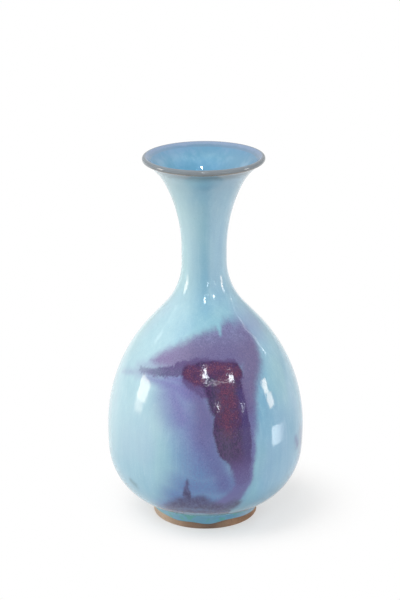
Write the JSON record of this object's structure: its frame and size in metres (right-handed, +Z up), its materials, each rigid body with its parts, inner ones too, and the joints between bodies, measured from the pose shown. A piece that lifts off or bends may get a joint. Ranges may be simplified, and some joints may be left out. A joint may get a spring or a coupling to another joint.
{
  "type": "stoneware bottle vase",
  "caption": "Free-standing pear-shaped stoneware bottle vase with a slim flaring neck, rolled lip, foot ring and a pale blue glaze with a purple copper splash.",
  "frame": {"origin": "centre of the foot ring's underside, on the table", "axes": "+Z up along the pot's axis; -Y is the front, the side with the purple splash"},
  "size_m": [0.154, 0.154, 0.29],
  "materials": {
    "stoneware": "fired buff-brown stoneware, matt",
    "slip": "fired joining slip, matt",
    "blue_glaze": "thick opalescent pale blue glaze, glossy",
    "copper_glaze": "purple copper-stained glaze, glossy",
    "lip_glaze": "thin grey-brown glaze, glossy"
  },
  "bodies": {
    "root": {"lower_body": "stoneware", "upper_body": "stoneware", "neck": "stoneware", "foot_ring": "stoneware", "belly_luting": "slip", "neck_luting": "slip", "foot_luting": "slip", "outer_glaze": "blue_glaze", "inner_coat": "blue_glaze", "copper_splash": "copper_glaze", "lip_coat": "lip_glaze"}
  },
  "joints": []
}
